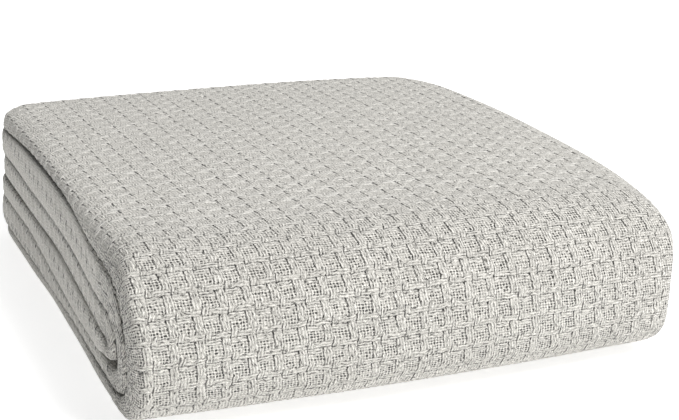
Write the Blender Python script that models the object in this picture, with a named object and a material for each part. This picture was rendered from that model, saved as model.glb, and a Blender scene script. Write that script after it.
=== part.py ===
"""Cotton thermal blanket, folded six by six into a soft stack.

One woven sheet is folded across its width into a strip of six layers, and the strip is folded along
its length into six panels, one on another. Both folds are made in thirds and then in half, so every
panel shows one round folded edge at the left, and the front is one smooth wrap round the stack.

Frame: metres, +Z up. The stack rests on z = 0 and its box is centred on the Z axis. The smooth
front faces -Y and the side that shows the six folded edges faces -X.
"""

import math
from typing import NamedTuple

import bmesh
import bpy

# Size of the folded stack
WIDTH = 0.389
DEPTH = 0.391
HEIGHT = 0.106

# The cloth: a soft woven sheet, its layers a little apart
SHEET = 0.0026
GAP = 0.0004
LAYERS = 6
PANELS = 6

# Places along the depth, measured from the front of the stack
FRONT_CENTRE = 0.062
BACK_CENTRE = 0.374
BACK_BULGE = 0.021
BACK_FOLD_REACH = 0.0012
FREE_END_REACH = 0.010

# The hollow that the innermost front fold leaves
HOLLOW_REACH = 0.005
HOLLOW_RISE = 0.0016
HOLLOW_LENGTH = 0.060

# Roundness of the front wrap: 2 is an ellipse and larger is squarer
UPPER_SQUARENESS = 2.35
LOWER_SQUARENESS = 2.5
BACK_SQUARENESS = 2.2

# Reach of a panel's left and right edges beyond the start of their rounding
EDGE_REACH = 0.0078
EDGE_SQUARENESS = 2.6
RIGHT_EDGE_REACH = 0.0030

# How far the middle of the front and of the right side stand out from their ends
FRONT_BOW = 0.008
FRONT_BOW_DEPTH = 0.235
RIGHT_BOW = 0.010

# Steps of the mesh
RUN_STEPS = 3
PANEL_STEPS = 5
FRONT_STEPS = 10
BACK_STEPS = 6
EDGE_STEPS = {5: 6, 3: 4, 1: 3}

CLOTH_COLOUR = (0.60, 0.58, 0.53, 1.0)
CLOTH_ROUGHNESS = 0.95


class Crease(NamedTuple):
    """Height of the line between two panels at four places from the back to the front."""

    back: float
    rear: float
    middle: float
    front: float


class Panel(NamedTuple):
    """How far a panel's left edge stands back from the widest one, from the back to the front."""

    back: float
    middle: float
    front: float


class Corner(NamedTuple):
    """Roundness of one upright corner of the stack, seen from above."""

    along_depth: float
    inset: float


class Crown(NamedTuple):
    """Fall of the top towards one edge: its share of the height, its width and how late it falls."""

    loss: float
    width: float
    power: float


# Lines between the panels, from the surface that the stack rests on to its top
CREASES = (
    Crease(0.0, 0.0, 0.0, 0.0),
    Crease(0.0120, 0.0125, 0.0130, 0.0125),
    Crease(0.0360, 0.0330, 0.0275, 0.0245),
    Crease(0.0510, 0.0500, 0.0490, 0.0390),
    Crease(0.0700, 0.0690, 0.0690, 0.0590),
    Crease(0.0895, 0.0905, 0.0930, 0.0835),
    Crease(0.1060, 0.1060, 0.1060, 0.1060),
)

# Left edges of the panels, from the lowest to the highest
PANEL_EDGES = (
    Panel(0.0020, 0.0045, 0.0010),
    Panel(0.0010, 0.0025, 0.0030),
    Panel(0.0020, 0.0010, 0.0025),
    Panel(0.0050, 0.0020, 0.0015),
    Panel(0.0035, 0.0005, 0.0000),
    Panel(0.0080, 0.0030, 0.0010),
)

FRONT_LEFT = Corner(along_depth=0.022, inset=0.006)
FRONT_RIGHT = Corner(along_depth=0.150, inset=0.042)
BACK_LEFT = Corner(along_depth=0.034, inset=0.018)
BACK_RIGHT = Corner(along_depth=0.060, inset=0.045)

# Fall of the top towards the left, the right and the back edge
LEFT_CROWN = Crown(loss=0.02, width=0.136, power=2.0)
RIGHT_CROWN = Crown(loss=0.07, width=0.214, power=2.5)
BACK_CROWN = Crown(loss=0.05, width=0.176, power=2.0)

# Rounding of the left and right sides towards the bottom and the top of the stack
LEFT_SIDE = {"bottom": 0.002, "top": 0.005}
RIGHT_SIDE = {"bottom": 0.034, "top": 0.032}
SIDE_SQUARENESS = 4.5

# Share of a corner's full roundness that is kept, so that no face is seen edge on
CORNER_SHARE = 0.96


def smooth_step(value):
    """Ease a value from 0 to 1, held at both ends."""
    value = min(max(value, 0.0), 1.0)
    return value * value * (3.0 - 2.0 * value)


def along(values, share):
    """Read a row of evenly spaced values as a smooth curve, at a share of its length."""
    place = min(max(share, 0.0), 1.0) * (len(values) - 1)
    index = min(int(place), len(values) - 2)
    step = place - index
    before = values[max(index - 1, 0)]
    start, end = values[index], values[index + 1]
    after = values[min(index + 2, len(values) - 1)]
    leave = 0.5 * (end - before)
    arrive = 0.5 * (after - start)
    return (
        (2 * step**3 - 3 * step**2 + 1) * start
        + (step**3 - 2 * step**2 + step) * leave
        + (-2 * step**3 + 3 * step**2) * end
        + (step**3 - step**2) * arrive
    )


def towards_front(depth):
    """Share of the way from the back folds to the front folds, for a depth behind the front."""
    return (BACK_CENTRE - depth) / (BACK_CENTRE - FRONT_CENTRE)


def crease_height(level, depth):
    """Height of the line between panels level and level + 1 at a depth behind the front."""
    return along(CREASES[level], towards_front(depth))


def half_gap(level, depth):
    """Half of the gap at a line between panels, which opens into a hollow at the innermost fold."""
    if level in (0, PANELS):
        return 0.0
    if level != PANELS // 2:
        return 0.5 * GAP
    share = 1.0 - (depth - FRONT_CENTRE) / HOLLOW_LENGTH
    return 0.5 * GAP + HOLLOW_RISE * smooth_step(share)


def panel_bounds(panel, depth):
    """Heights of the lower and upper faces of a panel, counted from 1 at the bottom."""
    lower = crease_height(panel - 1, depth) + half_gap(panel - 1, depth)
    upper = crease_height(panel, depth) - half_gap(panel, depth)
    return lower, upper


def rounded(angle, reach, rise, squareness):
    """Point of a squared ellipse: its reach along the depth and its rise, for an angle from 0 to 90."""
    power = 2.0 / squareness
    return reach * math.cos(angle) ** power, rise * math.sin(angle) ** power


class Station(NamedTuple):
    """One section of the strip: its face 0 and its face 1 in the plane across the depth."""

    first: tuple
    last: tuple
    inset: float


def panel_inset(panel, depth):
    """How far the left edge of a panel stands back at a depth."""
    return along(PANEL_EDGES[panel - 1], towards_front(depth))


def panel_stations(panel, depths, first_is_lower):
    """Stations of the strip along one panel."""
    stations = []
    for depth in depths:
        lower, upper = panel_bounds(panel, depth)
        faces = (lower, upper) if first_is_lower else (upper, lower)
        stations.append(
            Station((depth, faces[0]), (depth, faces[1]), panel_inset(panel, depth))
        )
    return stations


def front_stations(ring, first_is_inner):
    """Stations of a front fold from its lower panel to its upper one. Ring 1 is the innermost."""
    centre = crease_height(PANELS // 2, FRONT_CENTRE)
    lower_panel, upper_panel = PANELS // 2 + 1 - ring, PANELS // 2 + ring
    low_faces = panel_bounds(lower_panel, FRONT_CENTRE)
    high_faces = panel_bounds(upper_panel, FRONT_CENTRE)
    rings = PANELS // 2
    ring_width = (FRONT_CENTRE - HOLLOW_REACH) / rings
    inner_reach = HOLLOW_REACH + (ring - 1) * ring_width + (0.5 * GAP if ring > 1 else 0.0)
    outer_reach = HOLLOW_REACH + ring * ring_width - (0.5 * GAP if ring < rings else 0.0)
    inner = (inner_reach, centre - low_faces[1], high_faces[0] - centre)
    outer = (outer_reach, centre - low_faces[0], high_faces[1] - centre)
    insets = [panel_inset(panel, FRONT_CENTRE) for panel in (lower_panel, upper_panel)]
    stations = []
    for step in range(1, FRONT_STEPS):
        turn = math.pi * step / FRONT_STEPS - 0.5 * math.pi
        share = step / FRONT_STEPS
        points = []
        for reach, drop, rise in (inner, outer):
            if turn < 0:
                ahead, height = rounded(-turn, reach, drop, LOWER_SQUARENESS)
                height = -height
            else:
                ahead, height = rounded(turn, reach, rise, UPPER_SQUARENESS)
            points.append((FRONT_CENTRE - ahead, centre + height))
        if not first_is_inner:
            points.reverse()
        inset = insets[0] + (insets[1] - insets[0]) * smooth_step(share)
        stations.append(Station(points[0], points[1], inset))
    return stations


def back_stations(level, first_is_inner):
    """Stations of a back fold round the line at a level, from its lower panel to its upper one."""
    centre = crease_height(level, BACK_CENTRE)
    low_faces = panel_bounds(level, BACK_CENTRE)
    high_faces = panel_bounds(level + 1, BACK_CENTRE)
    inner = (BACK_FOLD_REACH, centre - low_faces[1], high_faces[0] - centre)
    outer = (BACK_BULGE, centre - low_faces[0], high_faces[1] - centre)
    insets = [panel_inset(panel, BACK_CENTRE) for panel in (level, level + 1)]
    stations = []
    for step in range(1, BACK_STEPS):
        turn = math.pi * step / BACK_STEPS - 0.5 * math.pi
        points = []
        for reach, drop, rise in (inner, outer):
            behind, height = rounded(abs(turn), reach, rise if turn > 0 else drop, BACK_SQUARENESS)
            height = math.copysign(height, turn)
            points.append((BACK_CENTRE + behind, centre + height))
        if not first_is_inner:
            points.reverse()
        inset = insets[0] + (insets[1] - insets[0]) * smooth_step(step / BACK_STEPS)
        stations.append(Station(points[0], points[1], inset))
    return stations


def strip_stations():
    """All the stations of the strip, from its free end in the lowest panel to the one in panel 4."""
    length = BACK_CENTRE - FRONT_CENTRE
    forward = [BACK_CENTRE - length * step / PANEL_STEPS for step in range(PANEL_STEPS + 1)]
    backward = forward[::-1]
    free_end = BACK_CENTRE + FREE_END_REACH
    return (
        panel_stations(1, [free_end] + forward, first_is_lower=False)
        + front_stations(3, first_is_inner=True)
        + panel_stations(6, backward, first_is_lower=True)
        + back_stations(5, first_is_inner=True)[::-1]
        + panel_stations(5, forward, first_is_lower=False)
        + front_stations(2, first_is_inner=False)[::-1]
        + panel_stations(2, backward, first_is_lower=True)
        + back_stations(2, first_is_inner=False)
        + panel_stations(3, forward, first_is_lower=False)
        + front_stations(1, first_is_inner=True)
        + panel_stations(4, backward + [free_end], first_is_lower=True)
    )


class SectionPoint(NamedTuple):
    """A point of the strip's outline: a share of the run between the edges, a reach past it, a height."""

    run: float
    reach: float
    height: float


def section_outline(thickness):
    """Closed outline of the six layers, for a strip of this thickness. Heights start at face 0."""
    sheet = min(SHEET, (thickness - (LAYERS - 1) * GAP) / LAYERS)
    half = 0.5 * sheet
    pitch = (thickness - sheet) / (LAYERS - 1)
    left_stretch = EDGE_REACH / (0.5 * thickness)
    right_stretch = RIGHT_EDGE_REACH / (0.5 * (pitch + sheet))

    def run_points(layer, leftwards):
        shares = [step / RUN_STEPS for step in range(RUN_STEPS + 1)]
        height = half + layer * pitch
        if leftwards:
            return [(share, 0.0, height, 0.0, 1.0) for share in reversed(shares)]
        return [(share, 0.0, height, 0.0, -1.0) for share in shares]

    def turn_points(from_layer, to_layer, at_left):
        low, high = sorted((from_layer, to_layer))
        steps = EDGE_STEPS[high - low]
        middle = half + 0.5 * (low + high) * pitch
        radius = 0.5 * (high - low) * pitch
        side = -1.0 if at_left else 1.0
        stretch = left_stretch if at_left else right_stretch
        points = []
        for step in range(1, steps):
            turn = math.pi * step / steps - 0.5 * math.pi
            if from_layer == high:
                turn = -turn
            out, rise = rounded(abs(turn), 1.0, 1.0, EDGE_SQUARENESS)
            up = math.copysign(rise, turn)
            # The sheet's second face lies outside a turn that climbs at the left or falls at the right.
            outward = -1.0 if (to_layer > from_layer) == at_left else 1.0
            points.append(
                (
                    0.0 if at_left else 1.0,
                    side * radius * out * stretch,
                    middle + radius * up,
                    outward * side * out * stretch,
                    outward * up,
                )
            )
        return points

    chain = run_points(0, leftwards=True)
    chain += turn_points(0, 5, at_left=True)
    chain += run_points(5, leftwards=False)
    chain += turn_points(5, 4, at_left=False)
    chain += run_points(4, leftwards=True)
    chain += turn_points(4, 1, at_left=True)
    chain += run_points(1, leftwards=False)
    chain += turn_points(1, 2, at_left=False)
    chain += run_points(2, leftwards=True)
    chain += turn_points(2, 3, at_left=True)
    chain += run_points(3, leftwards=False)
    one_face = [SectionPoint(run, x + half * nx, z + half * nz) for run, x, z, nx, nz in chain]
    other_face = [SectionPoint(run, x - half * nx, z - half * nz) for run, x, z, nx, nz in chain]
    return one_face + other_face[::-1]


def corner_inset(depth, front, back):
    """Inset of a side at a depth, from the roundness of its front and back corners."""
    ahead = 1.0 - depth / front.along_depth
    behind = 1.0 - (DEPTH - depth) / back.along_depth
    total = 0.0
    for share, corner in ((ahead, front), (behind, back)):
        share = min(max(share, 0.0), 1.0)
        total += corner.inset * (1.0 - math.sqrt(1.0 - CORNER_SHARE * share * share))
    return total


def side_inset(height, side):
    """Inset of a side at a height, rounded towards the bottom and the top."""
    share = 2.0 * height / HEIGHT - 1.0
    amount = side["top"] if share > 0 else side["bottom"]
    return amount * min(abs(share), 1.0) ** SIDE_SQUARENESS


def crown(x, depth):
    """Share of the height that is lost towards the edges of the stack."""
    lost = 0.0
    for edge, crown_edge in (
        (x, LEFT_CROWN),
        (WIDTH - x, RIGHT_CROWN),
        (DEPTH - depth, BACK_CROWN),
    ):
        lost += crown_edge.loss * max(0.0, 1.0 - edge / crown_edge.width) ** crown_edge.power
    return lost


def front_bow(x, depth):
    """How far forward a place moves, most at the middle of the front and nothing at the back."""
    across = 2.0 * x / WIDTH - 1.0
    return FRONT_BOW * (1.0 - across * across) * smooth_step(1.0 - depth / FRONT_BOW_DEPTH)


def place(point, station, thickness):
    """Put a point of the outline into the stack."""
    share = point.height / thickness
    depth = station.first[0] + (station.last[0] - station.first[0]) * share
    height = station.first[1] + (station.last[1] - station.first[1]) * share
    left = station.inset + corner_inset(depth, FRONT_LEFT, BACK_LEFT) + side_inset(height, LEFT_SIDE)
    bow = RIGHT_BOW * (2.0 * depth / DEPTH - 1.0) ** 2
    right = WIDTH - corner_inset(depth, FRONT_RIGHT, BACK_RIGHT) - side_inset(height, RIGHT_SIDE) - bow
    start, end = left + EDGE_REACH, right - RIGHT_EDGE_REACH
    x = start + (end - start) * point.run + point.reach
    z = height * (1.0 - crown(x, depth))
    return x - 0.5 * WIDTH, depth - front_bow(x, depth) - 0.5 * DEPTH, z


def strip_thickness(station):
    """Thickness of the strip at a station."""
    return math.dist(station.first, station.last)


def centre_on_axis(mesh):
    """Move the stack along X and Y so that its box is centred on the Z axis."""
    for axis in (0, 1):
        places = [vert.co[axis] for vert in mesh.verts]
        middle = 0.5 * (min(places) + max(places))
        for vert in mesh.verts:
            vert.co[axis] -= middle


def folded_blanket(collection, material):
    """The blanket: one outline of six layers, carried through the six panels and the turns."""
    mesh = bmesh.new()
    rings = []
    for station in strip_stations():
        thickness = strip_thickness(station)
        outline = section_outline(thickness)
        rings.append([mesh.verts.new(place(point, station, thickness)) for point in outline])
    for ring, following in zip(rings, rings[1:]):
        for index in range(len(ring)):
            after = (index + 1) % len(ring)
            mesh.faces.new((ring[index], ring[after], following[after], following[index]))
    for ring, turned in ((rings[0], True), (rings[-1], False)):
        half = len(ring) // 2
        for index in range(half - 1):
            face = [ring[index], ring[index + 1], ring[-index - 2], ring[-index - 1]]
            mesh.faces.new(face[::-1] if turned else face)
    bmesh.ops.recalc_face_normals(mesh, faces=mesh.faces)
    bmesh.ops.triangulate(mesh, faces=mesh.faces)
    centre_on_axis(mesh)
    data = bpy.data.meshes.new("blanket")
    mesh.to_mesh(data)
    mesh.free()
    data.materials.append(material)
    data.shade_smooth()
    blanket = bpy.data.objects.new("blanket", data)
    collection.objects.link(blanket)
    return blanket


def cloth_material():
    """Stone-grey cotton with a dry, matt surface."""
    material = bpy.data.materials.new("stone_cotton")
    material.use_nodes = True
    shader = material.node_tree.nodes["Principled BSDF"]
    shader.inputs["Base Color"].default_value = CLOTH_COLOUR
    shader.inputs["Roughness"].default_value = CLOTH_ROUGHNESS
    shader.inputs["Metallic"].default_value = 0.0
    return material


def main():
    """Clear the scene and build the blanket in its own collection."""
    for obj in list(bpy.data.objects):
        bpy.data.objects.remove(obj, do_unlink=True)
    collection = bpy.data.collections.new("cotton_thermal_blanket")
    bpy.context.scene.collection.children.link(collection)
    folded_blanket(collection, cloth_material())


main()
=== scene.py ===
"""Looks of a folded cotton thermal blanket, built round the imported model.

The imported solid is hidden, and two pieces of cloth stand for it: the outer wrap, which is the underside, the
smooth front and the top, and the inner folds. Both follow the solid's own fold: the cloth in six layers, as
a strip that is carried through six panels. What shows of them has the weave's relief in its mesh, and its
yarns in the material.

Units are metres. x runs from the folded edges at the left to the free edges at the right, depth runs from the
front to the back, and heights start at the surface that the stack rests on.
"""

from __future__ import annotations

import logging
import math
from dataclasses import dataclass, field, fields
from enum import Enum
from typing import Any, Callable, Sequence

import bmesh
import bpy
import numpy as np
from mathutils import Matrix, Vector

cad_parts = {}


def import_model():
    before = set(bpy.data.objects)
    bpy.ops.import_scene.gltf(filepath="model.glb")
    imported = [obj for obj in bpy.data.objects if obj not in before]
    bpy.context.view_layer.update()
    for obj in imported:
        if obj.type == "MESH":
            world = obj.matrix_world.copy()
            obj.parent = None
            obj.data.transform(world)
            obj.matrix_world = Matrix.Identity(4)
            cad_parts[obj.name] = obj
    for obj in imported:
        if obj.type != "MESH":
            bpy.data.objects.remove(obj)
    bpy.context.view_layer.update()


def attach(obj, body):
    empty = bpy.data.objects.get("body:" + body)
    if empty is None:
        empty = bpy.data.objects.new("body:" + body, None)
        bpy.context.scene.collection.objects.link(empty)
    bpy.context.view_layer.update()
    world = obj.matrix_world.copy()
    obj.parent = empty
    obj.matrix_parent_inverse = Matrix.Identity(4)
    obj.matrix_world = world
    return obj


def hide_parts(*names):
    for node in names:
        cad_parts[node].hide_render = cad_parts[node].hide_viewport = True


LOG = logging.getLogger("blanket")
Array = np.ndarray

CAD_NODE = "blanket"
BODY = "root"
SLOT = "stone_cotton"
UV_NAME = "weave"
RELIEF_NAME = "relief"
OPEN_NAME = "open"
CREASE_NAME = "crease"
# Mark that holds how dark the painted shade at the nearest crease is
CREASE_SHADE_NAME = "tuck"
SAME_PLACE = 1e-7
MILLIMETRES = 1000.0
RIGHT_ANGLE = 0.5 * math.pi


def smooth_step(value: Array | float) -> Array:
    """Ease values from 0 to 1, held at both ends."""
    held = np.clip(value, 0.0, 1.0)
    return held * held * (3.0 - 2.0 * held)


def along(values: Sequence[float], share: Array | float) -> Array:
    """Read a row of evenly spaced values as a smooth curve.

    Args:
        values: The row of values.
        share: Shares of the row's length, from 0 to 1.

    Returns:
        The curve's value at each share.
    """
    row = np.asarray(values, float)
    place = np.clip(share, 0.0, 1.0) * (len(row) - 1)
    index = np.minimum(np.floor(place).astype(int), len(row) - 2)
    step = place - index
    before, start = row[np.maximum(index - 1, 0)], row[index]
    end, after = row[index + 1], row[np.minimum(index + 2, len(row) - 1)]
    leave, arrive = 0.5 * (end - before), 0.5 * (after - start)
    return (
        (2 * step**3 - 3 * step**2 + 1) * start
        + (step**3 - 2 * step**2 + step) * leave
        + (3 * step**2 - 2 * step**3) * end
        + (step**3 - step**2) * arrive
    )


def rounded(angle: Array, squareness: Array | float) -> tuple[Array, Array]:
    """Point of a squared ellipse of size 1 at an angle from 0 to a right angle."""
    power = 2.0 / np.asarray(squareness, float)
    return np.clip(np.cos(angle), 0, 1) ** power, np.clip(np.sin(angle), 0, 1) ** power


@dataclass(frozen=True)
class PanelEdge:
    """Left edge of a panel, each row from the back to the front of the stack."""

    inset: tuple[float, float, float]
    reach: tuple[float, float, float]
    lower_squareness: tuple[float, float, float]
    upper_squareness: tuple[float, float, float]


@dataclass(frozen=True)
class Corner:
    """Roundness of one upright corner of the stack, seen from above."""

    along_depth: float
    inset: float


@dataclass(frozen=True)
class Crown:
    """Fall of the top towards one edge: its share of the height, its width and how late it falls."""

    loss: float
    width: float
    power: float


@dataclass(frozen=True)
class Trough:
    """A soft hollow in the cloth, or a ridge where its fall is negative, at a place on a face."""

    across: float
    along: float
    angle: float
    length: float
    width: float
    fall: float

    def depth_at(self, across: Array, along_face: Array) -> Array:
        """How far the face falls at places on it.

        Args:
            across: Distances from the face's middle along x.
            along_face: Distances along the face's other way.

        Returns:
            The fall at each place.
        """
        turn = math.radians(self.angle)
        dx, dy = across - self.across, along_face - self.along
        lengthwise = (dx * math.cos(turn) + dy * math.sin(turn)) / self.length
        sideways = (dy * math.cos(turn) - dx * math.sin(turn)) / self.width
        return self.fall * np.exp(-lengthwise**2 - sideways**2)


@dataclass
class Sections:
    """Cross-sections of the strip in order along it: its two faces and the form of its left edge.

    first and last hold the depth and the height of the strip's face 0 and of its other face, inset how far
    its left edge lies inside the stack's, and edge how far that edge bulges and its squareness at each face.
    """

    first: Array
    last: Array
    inset: Array
    edge: Array

    @property
    def thickness(self) -> Array:
        """Distance between the strip's two faces at each section."""
        return np.linalg.norm(self.last - self.first, axis=1)

    @property
    def middle(self) -> Array:
        """Depth and height half way between the two faces at each section."""
        return 0.5 * (self.first + self.last)

    def each(self, change: Callable[[Array], Array]) -> Sections:
        """New sections, with all their numbers changed in the same way."""
        return Sections(*(change(getattr(self, item.name)) for item in fields(self)))

    def turned(self) -> Sections:
        """The same sections in the other order."""
        return self.each(lambda values: values[::-1])

    def picked(self, places: Array, lengths: Array) -> Sections:
        """Read sections at chosen lengths.

        Args:
            places: The lengths to read at.
            lengths: The length at each section that there is.

        Returns:
            New sections at those places.
        """

        def read(values: Array) -> Array:
            """Read one kind of number at the places."""
            columns = values.reshape(len(lengths), -1).T
            found = np.stack([np.interp(places, lengths, column) for column in columns], axis=1)
            return found.reshape((len(places),) + values.shape[1:])

        return self.each(read)


def joined(parts: Sequence[Sections]) -> Sections:
    """Join runs of sections into one, leaving out a section that repeats the one before it.

    Args:
        parts: The runs, in order along the strip.

    Returns:
        All their sections.
    """
    whole = Sections(
        *(np.concatenate([getattr(part, item.name) for part in parts]) for item in fields(Sections))
    )
    moved = np.linalg.norm(np.diff(whole.middle, axis=0), axis=1) > SAME_PLACE
    kept = np.concatenate([[True], moved])
    return whole.each(lambda values: values[kept])


@dataclass(frozen=True)
class Stack:
    """The folded stack: its sizes, and where every place of the fold lies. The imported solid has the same."""

    width: float = 0.389
    depth: float = 0.391
    height: float = 0.106
    sheet: float = 0.0026
    gap: float = 0.0004
    layers: int = 6
    panels: int = 6
    front_centre: float = 0.062
    back_centre: float = 0.374
    back_bulge: float = 0.021
    back_fold_reach: float = 0.0012
    free_end_reach: float = 0.010
    hollow_reach: float = 0.005
    hollow_rise: float = 0.0008
    hollow_length: float = 0.060
    pocket_level: int = 2
    pocket_rise: float = 0.0052
    pocket_drop: float = 0.0004
    pocket_length: float = 0.020
    pocket_reach: float = 0.0034
    upper_squareness: float = 2.35
    lower_squareness: tuple[float, ...] = (1.8, 1.7, 2.4, 2.5)
    back_squareness: float = 2.2
    right_edge_reach: float = 0.0030
    right_squareness: float = 2.6
    inner_squareness: float = 2.6
    front_bow: float = 0.008
    front_bow_depth: float = 0.235
    right_bow: float = 0.010
    corner_share: float = 0.96
    side_squareness: float = 4.5
    left_bottom: float = 0.002
    left_top: float = 0.005
    right_bottom: float = 0.034
    right_top: float = 0.032
    # Heights of the lines between the panels, each row from the back to the front
    creases: tuple[tuple[float, ...], ...] = (
        (0.0, 0.0, 0.0, 0.0),
        (0.0120, 0.0127, 0.0138, 0.0126),
        (0.0358, 0.0339, 0.0261, 0.0241),
        (0.0519, 0.0505, 0.0500, 0.0400),
        (0.0692, 0.0690, 0.0689, 0.0599),
        (0.0899, 0.0943, 0.0954, 0.0852),
        (0.1060, 0.1060, 0.1060, 0.1060),
    )
    # How dark the painted shade at the lines between the panels is, each row from the back to the front
    crease_shade: tuple[tuple[float, ...], ...] = (
        (0.50, 0.45, 0.45, 0.35),
        (0.25, 0.30, 0.30, 0.10),
        (0.15, 0.22, 0.28, 0.20),
        (0.55, 0.85, 1.00, 0.60),
        (0.40, 0.55, 0.45, 0.00),
    )
    # Left edges of the panels, from the lowest to the highest
    edges: tuple[PanelEdge, ...] = (
        PanelEdge((0.0028, 0.0045, 0.0027), (0.0060, 0.0060, 0.0050), (2.6, 2.6, 2.8), (3.4, 3.4, 6.0)),
        PanelEdge((0.0009, 0.0031, 0.0029), (0.0050, 0.0050, 0.0045), (3.4, 3.4, 5.0), (3.4, 3.4, 3.4)),
        PanelEdge((0.0021, 0.0024, 0.0012), (0.0050, 0.0050, 0.0045), (3.4, 3.4, 3.4), (3.6, 3.6, 3.6)),
        PanelEdge((0.0036, 0.0032, 0.0019), (0.0050, 0.0050, 0.0045), (3.2, 3.2, 3.4), (2.9, 2.9, 3.2)),
        PanelEdge((0.0031, 0.0018, 0.0010), (0.0050, 0.0050, 0.0045), (3.6, 3.6, 3.6), (6.0, 6.0, 7.0)),
        PanelEdge((0.0035, 0.0030, 0.0018), (0.0170, 0.0160, 0.0130), (8.0, 8.0, 9.0), (2.0, 2.0, 2.1)),
    )
    wrap_edge: tuple[float, float, float] = (0.0050, 7.0, 5.0)
    front_left: Corner = Corner(0.022, 0.006)
    front_right: Corner = Corner(0.150, 0.042)
    back_left: Corner = Corner(0.034, 0.018)
    back_right: Corner = Corner(0.060, 0.045)
    left_crown: Crown = Crown(0.02, 0.136, 2.0)
    right_crown: Crown = Crown(0.07, 0.214, 2.5)
    back_crown: Crown = Crown(0.05, 0.176, 2.0)
    # Waves of the lines between the panels and of the panels' edges: how far, how long, and their start
    crease_wave: tuple[float, float] = (0.0003, 0.190)
    edge_wave: tuple[float, float] = (0.0004, 0.210)
    # What the waves are mixed from: share, rate, and lag from one numbered line to the next
    wave_mix: tuple[tuple[float, float, float], ...] = ((0.6, 1.0, 2.1), (0.4, 2.3, 4.7))
    top_troughs: tuple[Trough, ...] = (
        Trough(0.020, 0.120, 62.0, 0.055, 0.012, 0.0010),
        Trough(-0.120, 0.080, 70.0, 0.050, 0.010, 0.0009),
        Trough(0.085, 0.240, 40.0, 0.070, 0.022, 0.0012),
        Trough(-0.060, 0.190, 80.0, 0.070, 0.020, -0.0006),
        Trough(-0.020, 0.300, 15.0, 0.080, 0.018, 0.0008),
        Trough(0.110, 0.130, 75.0, 0.060, 0.018, -0.0008),
    )
    front_troughs: tuple[Trough, ...] = (
        Trough(-0.090, 0.045, 80.0, 0.040, 0.018, 0.0010),
        Trough(0.030, 0.060, 65.0, 0.045, 0.020, 0.0008),
        Trough(-0.020, 0.030, 10.0, 0.080, 0.012, -0.0006),
        Trough(0.110, 0.050, 100.0, 0.045, 0.020, 0.0010),
    )
    front_dent_depth: float = 0.12
    calm_depth: float = 0.04
    wrap_edge_share: float = 1.6
    panel_sections: int = 241
    front_sections: int = 181
    back_sections: int = 121

    def towards_front(self, depth: Array) -> Array:
        """Share of the way from the back folds to the front folds."""
        return (self.back_centre - depth) / (self.back_centre - self.front_centre)

    def sheet_at(self, thickness: Array) -> Array:
        """Thickness of the cloth in a strip of a thickness, less where the strip is pressed."""
        return np.minimum(self.sheet, (thickness - (self.layers - 1) * self.gap) / self.layers)

    def wave(self, sizes: tuple[float, float], depth: Array, number: int) -> Array:
        """Small uneven wave along the depth, different for each numbered line.

        Args:
            sizes: How far the wave goes and how long it is.
            depth: Places along the depth.
            number: The line's number.

        Returns:
            The wave at each place.
        """
        size, length = sizes
        turn = 2.0 * math.pi * depth / length
        return size * sum(part * np.sin(rate * turn + lag * number) for part, rate, lag in self.wave_mix)

    def crease_height(self, level: int, depth: Array) -> Array:
        """Height of the line between panels level and level + 1.

        Args:
            level: The line's number, 0 at the bottom of the stack.
            depth: Places along the depth.

        Returns:
            The height at each place.
        """
        height = along(self.creases[level], self.towards_front(depth))
        if level in (0, self.panels):
            return height
        calm = smooth_step((depth - self.front_centre) / self.calm_depth)
        calm = calm * smooth_step((self.back_centre - depth) / self.calm_depth)
        return height + calm * self.wave(self.crease_wave, depth, level)

    def half_gap(self, level: int, depth: Array) -> Array:
        """Half of the gap at a line between panels, which opens into a hollow at the innermost fold.

        Args:
            level: The line's number.
            depth: Places along the depth.

        Returns:
            Half of the gap at each place.
        """
        if level in (0, self.panels):
            return np.zeros_like(depth)
        if level != self.panels // 2:
            return np.full_like(depth, 0.5 * self.gap)
        share = 1.0 - (depth - self.front_centre) / self.hollow_length
        return 0.5 * self.gap + self.hollow_rise * smooth_step(share)

    def panel_bounds(self, panel: int, depth: Array) -> tuple[Array, Array]:
        """Heights of the lower and upper faces of a panel.

        Args:
            panel: The panel's number, 1 at the bottom of the stack.
            depth: Places along the depth.

        Returns:
            The heights of its lower face, and those of its upper one.
        """
        lower = self.crease_height(panel - 1, depth) + self.half_gap(panel - 1, depth)
        upper = self.crease_height(panel, depth) - self.half_gap(panel, depth)
        opened = smooth_step(1.0 - (depth - self.front_centre) / self.pocket_length)
        if panel - 1 == self.pocket_level:
            lower = lower + self.pocket_rise * opened
        if panel == self.pocket_level:
            upper = upper - self.pocket_drop * opened
        return lower, upper

    def edge_form(self, panel: int, depth: Array, first_is_lower: bool) -> tuple[Array, Array]:
        """Form of a panel's left edge.

        Args:
            panel: The panel's number.
            depth: Places along the depth.
            first_is_lower: Whether the strip's face 0 is the panel's lower one.

        Returns:
            The insets, and rows of reach, squareness at face 0 and squareness at the other face.
        """
        edge, share = self.edges[panel - 1], self.towards_front(depth)
        inset = along(edge.inset, share) + self.wave(self.edge_wave, depth, panel)
        lower, upper = along(edge.lower_squareness, share), along(edge.upper_squareness, share)
        faces = (lower, upper) if first_is_lower else (upper, lower)
        return inset, np.stack([along(edge.reach, share), *faces], axis=1)

    def panel(self, number: int, start: float, end: float, first_is_lower: bool) -> Sections:
        """Lay a run of the strip along one panel.

        Args:
            number: The panel's number.
            start: The depth that it starts from.
            end: The depth that it goes to.
            first_is_lower: Whether the strip's face 0 is the panel's lower one.

        Returns:
            Its sections.
        """
        depth = np.linspace(start, end, self.panel_sections)
        faces = [np.stack([depth, height], axis=1) for height in self.panel_bounds(number, depth)]
        first, last = faces if first_is_lower else faces[::-1]
        return Sections(first, last, *self.edge_form(number, depth, first_is_lower))

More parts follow.
